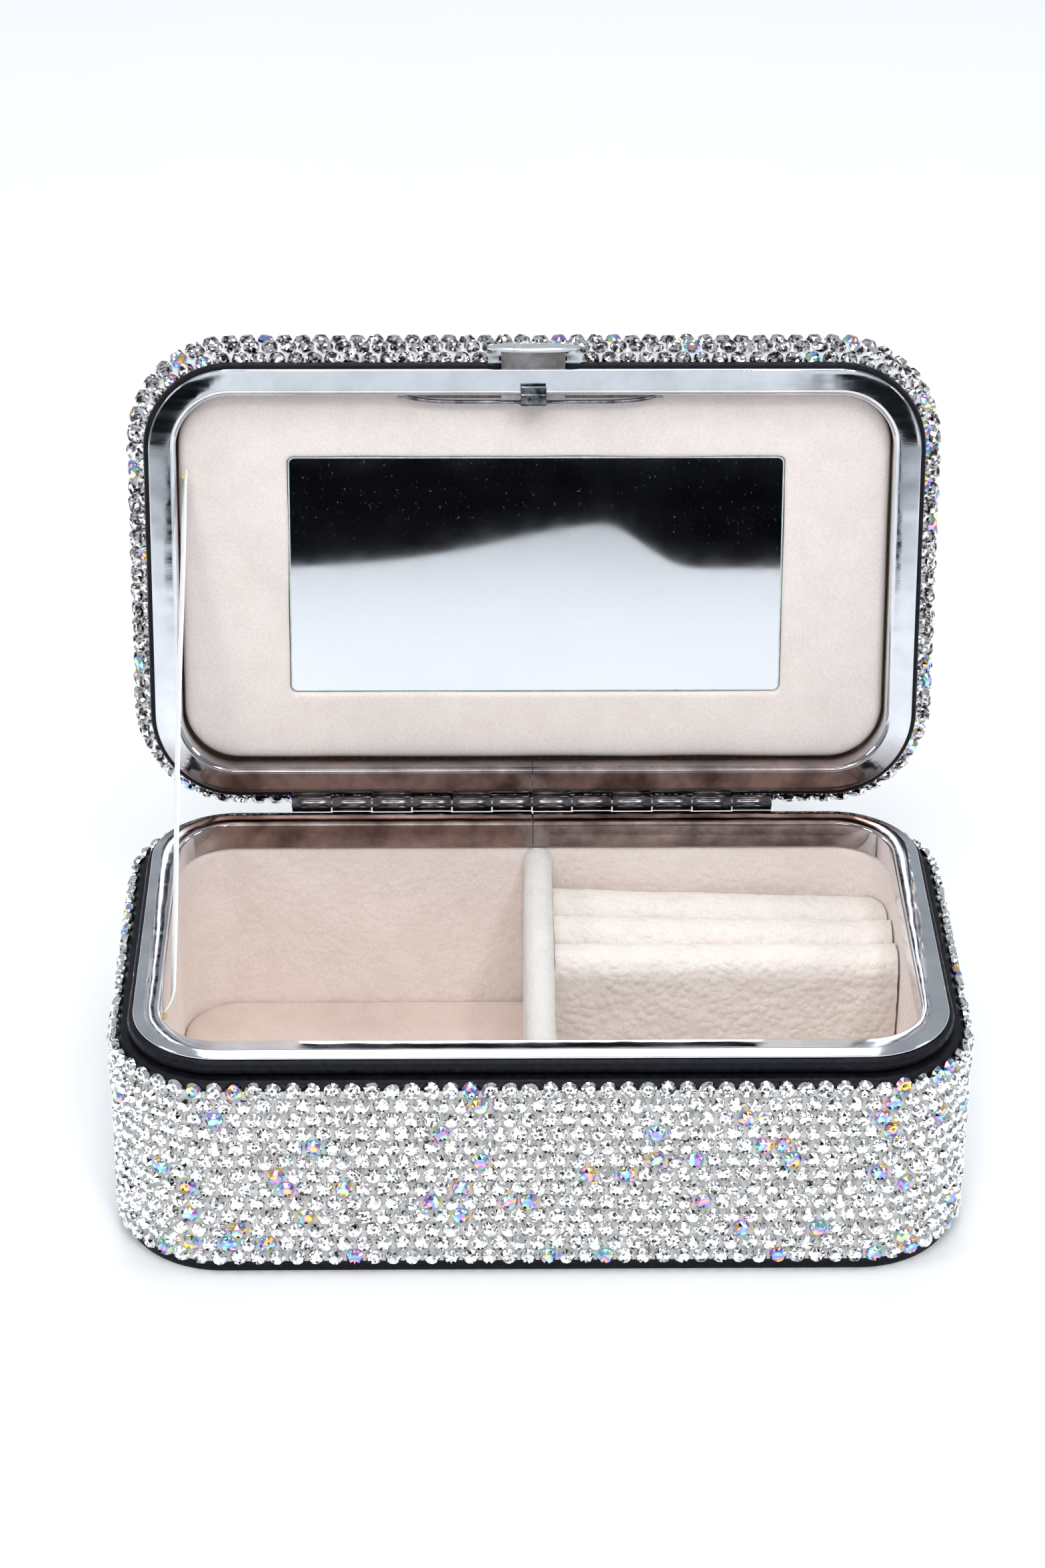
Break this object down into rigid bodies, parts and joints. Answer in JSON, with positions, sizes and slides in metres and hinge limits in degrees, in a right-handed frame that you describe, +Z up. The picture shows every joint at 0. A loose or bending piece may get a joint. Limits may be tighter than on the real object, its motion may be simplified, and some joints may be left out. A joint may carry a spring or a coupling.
{
  "type": "trinket box",
  "caption": "Rectangular travel trinket box with a hinged lid, press-lock, lid mirror, divided velvet tray and ring rolls, covered in rhinestones.",
  "frame": {"origin": "centre of the bottom face, on the surface the box stands on", "axes": "+X to the right along the box's length, +Y to the back, where the hinge is, +Z up; the lid stands open at rest"},
  "size_m": [0.1532, 0.1206, 0.1317],
  "materials": {
    "chrome": "polished plating with fine scratches",
    "spring_steel": "bright drawn wire",
    "crystal": "faceted foil-backed stones on a pale adhesive sheet",
    "leatherette": "satin, fine grain",
    "fibreboard": "plain board",
    "velvet": "short-pile velvet",
    "velvet_pale": "short-pile velvet",
    "roll_velvet": "short-pile velvet, pebbled",
    "foam": "open-cell foam",
    "mirror_glass": "silvered float glass",
    "ribbon": "woven satin ribbon"
  },
  "bodies": {
    "base": {"base_frame": "chrome", "base_welt": "leatherette", "base_shell": "fibreboard", "base_cover": "leatherette", "base_rhinestones": "crystal", "base_liner": "velvet", "floor_board": "fibreboard", "floor_pad": "velvet", "bottom_panel": "leatherette", "divider": "velvet_pale", "ring_roll_front": "roll_velvet", "ring_roll_middle": "roll_velvet", "ring_roll_back": "roll_velvet", "hinge_leaf_base": "chrome", "hinge_pin": "chrome"},
    "lid": {"lid_frame": "chrome", "lid_welt": "leatherette", "lid_shell": "fibreboard", "lid_cover": "leatherette", "lid_rhinestones": "crystal", "lid_liner_panel": "velvet", "lid_backing_board": "fibreboard", "lid_foam_pad": "foam", "lid_mirror": "mirror_glass", "hinge_leaf_lid": "chrome", "latch_retainer": "chrome"},
    "latch": {"latch_button": "chrome", "latch_catch": "chrome", "latch_spring_wire": "spring_steel"},
    "stay_lower": {"stay_ribbon_lower": "ribbon"},
    "stay_upper": {"stay_ribbon_upper": "ribbon"}
  },
  "joints": [
    {"name": "lid_hinge", "type": "hinge", "parent": "base", "child": "lid", "pos_m": [0, 0.04339, 0.04453], "axis": [1, 0, 0], "range_deg": [0, 101.67]},
    {"name": "latch_press", "type": "slide", "parent": "lid", "child": "latch", "axis": [0, -0.2023, -0.9793], "range_m": [0, 0.0024], "stiffness_N_per_m": 600},
    {"name": "stay_anchor", "type": "hinge", "parent": "base", "child": "stay_lower", "pos_m": [-0.0655, -0.02, 0.0383], "axis": [1, 0, 0], "range_deg": [-64.25, 0]},
    {"name": "stay_fold", "type": "hinge", "parent": "stay_lower", "child": "stay_upper", "pos_m": [-0.0655, 0.01805, 0.07058], "axis": [1, 0, 0], "range_deg": [0, 170.3], "deforming": ["stay_ribbon_upper", "stay_ribbon_lower"]}
  ],
  "couplings": [
    {"joint": "stay_anchor", "follows": "lid_hinge", "ratio": -0.63187},
    {"joint": "stay_fold", "follows": "lid_hinge", "ratio": 1.675}
  ]
}
